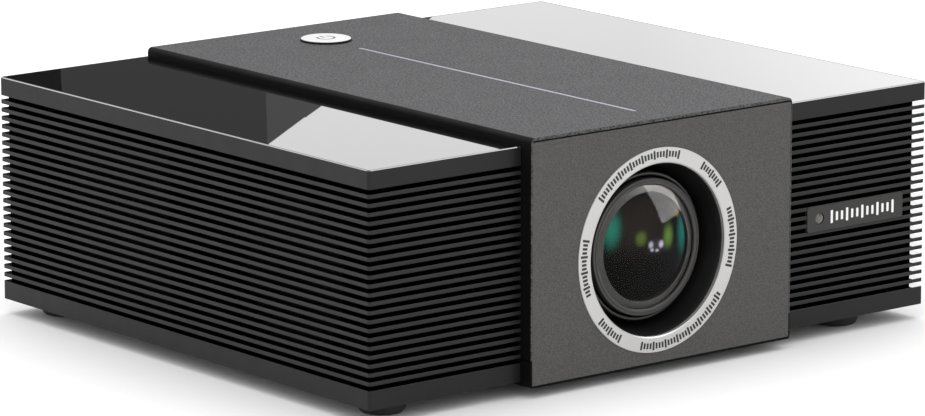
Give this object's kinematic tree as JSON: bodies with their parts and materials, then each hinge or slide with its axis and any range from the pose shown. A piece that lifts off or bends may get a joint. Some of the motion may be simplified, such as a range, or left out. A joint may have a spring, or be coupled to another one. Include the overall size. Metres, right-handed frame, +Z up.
{
  "type": "home video projector",
  "caption": "Free-standing home projector: grey centre body with a ringed lens, light bar and top button, between two louvred black wings with glossy tops.",
  "frame": {"origin": "middle of the whole footprint, on the surface the feet stand on", "axes": "+Z up, the lens faces -Y, +X is to the right seen from the front"},
  "size_m": [0.268, 0.2342, 0.0965],
  "materials": {
    "case_paint": "fine sand-blasted grey paint",
    "case_plastic": "moulded black, fine texture",
    "grille_plastic": "moulded dark grey, satin",
    "top_gloss": "piano black",
    "ring_silver": "satin silver with black engraved scale",
    "lens_black": "satin black",
    "coated_glass": "coated lens glass",
    "engine_plastic": "glass-filled black",
    "clear_optic": "clear moulded optic",
    "lcd_panel": "dark polarised panel",
    "mirror_glass": "front-silvered",
    "bare_metal": "plain pressed or extruded",
    "steel": "zinc-plated",
    "brass": "turned",
    "board": "green circuit board",
    "socket_black": "black",
    "rubber": "matt black",
    "button_silver": "satin silver cap with an engraved power sign",
    "diffuser": "frosted light guide, pale blue",
    "receiver_lens": "smoked infrared window",
    "speaker_black": "black basket and paper cone",
    "foam": "thin dust mesh"
  },
  "bodies": {
    "projector_body": {"centre_hood": "case_paint", "front_panel": "case_paint", "centre_base": "case_plastic", "rear_panel": "case_plastic", "left_floor": "case_plastic", "right_floor": "case_plastic", "left_grille": "grille_plastic", "right_grille": "grille_plastic", "receiver_plate": "grille_plastic", "left_top_plate": "top_gloss", "right_top_plate": "top_gloss", "lens_ring": "ring_silver", "lens_well": "lens_black", "lens_guide_tube": "lens_black", "engine_housing": "engine_plastic", "engine_cover": "engine_plastic", "intake_fan_frame": "engine_plastic", "exhaust_fan_frame": "engine_plastic", "field_lens": "clear_optic", "collimator_lens": "clear_optic", "condenser_lens": "clear_optic", "picture_panel": "lcd_panel", "fold_mirror": "mirror_glass", "light_cone": "bare_metal", "heat_sink": "bare_metal", "focus_bracket": "bare_metal", "focus_motor": "bare_metal", "rear_screw_1": "steel", "rear_screw_2": "steel", "rear_screw_3": "steel", "rear_screw_4": "steel", "hdmi_socket": "steel", "usb_socket": "steel", "tripod_bush": "brass", "led_board": "brass", "main_board": "board", "power_board": "board", "light_bar_board": "board", "switch_board": "board", "mains_inlet": "socket_black", "audio_socket": "socket_black", "foot_front_left": "rubber", "foot_front_right": "rubber", "foot_rear_left": "rubber", "foot_rear_right": "rubber", "light_bar": "diffuser", "receiver_window": "receiver_lens", "left_speaker": "speaker_black", "right_speaker": "speaker_black", "dust_filter": "foam"},
    "lens_carriage": {"lens_barrel": "lens_black", "lens_rim": "lens_black", "front_lens": "coated_glass", "middle_lens": "coated_glass", "rear_lens": "coated_glass", "focus_nut": "brass"},
    "focus_screw": {"focus_screw": "steel"},
    "power_button": {"power_button": "button_silver"},
    "intake_rotor": {"intake_fan_rotor": "engine_plastic"},
    "exhaust_rotor": {"exhaust_fan_rotor": "engine_plastic"}
  },
  "joints": [
    {"name": "focus_slide", "type": "slide", "parent": "projector_body", "child": "lens_carriage", "axis": [0, -1, 0], "range_m": [-0.006, 0.005]},
    {"name": "focus_screw_spin", "type": "hinge", "parent": "projector_body", "child": "focus_screw", "pos_m": [0.0338, -0.086, 0.0467], "axis": [0, -1, 0], "range_deg": [-451, 541]},
    {"name": "power_button_press", "type": "slide", "parent": "projector_body", "child": "power_button", "axis": [0, 0, -1], "range_m": [0, 0.0006], "stiffness_N_per_m": 1500},
    {"name": "intake_fan_spin", "type": "hinge", "parent": "projector_body", "child": "intake_rotor", "pos_m": [-0.1206, 0.045, 0.0467], "axis": [1, 0, 0], "continuous": true},
    {"name": "exhaust_fan_spin", "type": "hinge", "parent": "projector_body", "child": "exhaust_rotor", "pos_m": [0.1206, 0.045, 0.0467], "axis": [1, 0, 0], "continuous": true}
  ],
  "couplings": [
    {"joint": "focus_screw_spin", "follows": "focus_slide", "rad_per_m": -1570.8}
  ]
}
